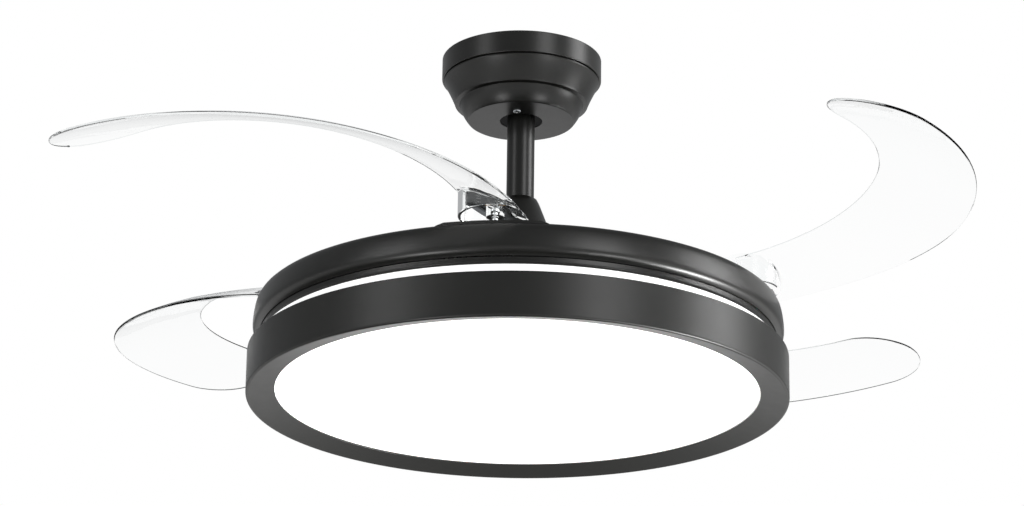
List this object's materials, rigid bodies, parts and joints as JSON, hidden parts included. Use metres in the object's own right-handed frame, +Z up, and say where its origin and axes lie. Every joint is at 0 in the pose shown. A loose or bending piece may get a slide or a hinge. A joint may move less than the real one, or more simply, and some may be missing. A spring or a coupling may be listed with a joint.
{
  "type": "retractable blade ceiling fan",
  "caption": "Ceiling fan on a short downrod with a round black drum lamp and clear curved blades that swing in over the drum when it stops.",
  "frame": {"origin": "middle of the hanger bracket's top face, on the ceiling plane and on the rod's axis", "axes": "+Z up, out of the top face into the ceiling; -Y towards the pictured side; +X to the picture's right"},
  "size_m": [0.8086, 0.8086, 0.3414],
  "materials": {
    "black_paint": "satin powder coat",
    "zinc_steel": "zinc plated",
    "bright_steel": "ground",
    "cast_aluminium": "as cast",
    "white_paint": "satin",
    "opal_acrylic": "satin opal",
    "clear_acrylic": "polished clear",
    "nylon": "moulded",
    "black_plastic": "moulded",
    "white_plastic": "moulded",
    "bronze": "sintered",
    "ferrite": "sintered",
    "wound_core": "laminated core with enamelled wire",
    "board_aluminium": "white solder mask"
  },
  "bodies": {
    "ceiling_mount": {"hanger_bracket": "zinc_steel", "canopy_bowl": "black_paint", "canopy_band": "black_paint", "canopy_screw_right": "zinc_steel", "canopy_screw_left": "zinc_steel", "receiver_box": "black_plastic", "terminal_block": "white_plastic"},
    "hanging_frame": {"hanger_ball": "black_plastic", "cross_pin": "bright_steel", "downrod": "black_paint", "rod_collar": "cast_aluminium", "clevis_pin": "bright_steel", "collar_cover": "black_paint", "motor_shaft": "bright_steel", "stator": "wound_core", "lamp_carrier": "zinc_steel", "shaft_nut": "zinc_steel", "lamp_base": "white_paint", "lamp_hoop": "black_paint", "diffuser": "opal_acrylic", "led_board": "board_aluminium", "led_driver": "white_plastic"},
    "rotor": {"motor_shell_upper": "cast_aluminium", "motor_shell_lower": "cast_aluminium", "magnet_ring": "ferrite", "upper_bearing": "bright_steel", "lower_bearing": "bright_steel", "blade_drum": "black_paint", "drum_cover": "black_paint", "pivot_bush_1": "bronze", "pivot_bush_2": "bronze", "pivot_bush_3": "bronze", "pivot_bush_4": "bronze", "return_spring_1": "bright_steel", "return_spring_2": "bright_steel", "return_spring_3": "bright_steel", "return_spring_4": "bright_steel"},
    "blade_arm_1": {"blade_1": "clear_acrylic", "pivot_pin_1": "bright_steel", "sector_gear_1": "nylon"},
    "blade_arm_2": {"blade_2": "clear_acrylic", "pivot_pin_2": "bright_steel", "sector_gear_2": "nylon"},
    "blade_arm_3": {"blade_3": "clear_acrylic", "pivot_pin_3": "bright_steel", "sector_gear_3": "nylon"},
    "blade_arm_4": {"blade_4": "clear_acrylic", "pivot_pin_4": "bright_steel", "sector_gear_4": "nylon"},
    "gear_ring": {"sync_ring": "nylon"}
  },
  "joints": [
    {"name": "hanger_tilt", "type": "hinge", "parent": "ceiling_mount", "child": "hanging_frame", "pos_m": [0, 0, -0.0255], "axis": [1, 0, 0], "range_deg": [-8, 8]},
    {"name": "rotor_spin", "type": "hinge", "parent": "hanging_frame", "child": "rotor", "pos_m": [0, 0, -0.226], "axis": [0, 0, 1], "continuous": true},
    {"name": "blade_1_fold", "type": "hinge", "parent": "rotor", "child": "blade_arm_1", "pos_m": [0.20892, -0.02122, -0.236], "axis": [0, 0, -1], "range_deg": [0, 84]},
    {"name": "blade_2_fold", "type": "hinge", "parent": "rotor", "child": "blade_arm_2", "pos_m": [0.02122, 0.20892, -0.236], "axis": [0, 0, -1], "range_deg": [0, 84]},
    {"name": "blade_3_fold", "type": "hinge", "parent": "rotor", "child": "blade_arm_3", "pos_m": [-0.20892, 0.02122, -0.236], "axis": [0, 0, -1], "range_deg": [0, 84]},
    {"name": "blade_4_fold", "type": "hinge", "parent": "rotor", "child": "blade_arm_4", "pos_m": [-0.02122, -0.20892, -0.236], "axis": [0, 0, -1], "range_deg": [0, 84]},
    {"name": "sync_ring_turn", "type": "hinge", "parent": "rotor", "child": "gear_ring", "pos_m": [0, 0, -0.262], "axis": [0, 0, 1], "range_deg": [0, 16.8]}
  ],
  "couplings": [
    {"joint": "blade_2_fold", "follows": "blade_1_fold", "ratio": 1},
    {"joint": "blade_3_fold", "follows": "blade_1_fold", "ratio": 1},
    {"joint": "blade_4_fold", "follows": "blade_1_fold", "ratio": 1},
    {"joint": "sync_ring_turn", "follows": "blade_1_fold", "ratio": 0.2}
  ]
}
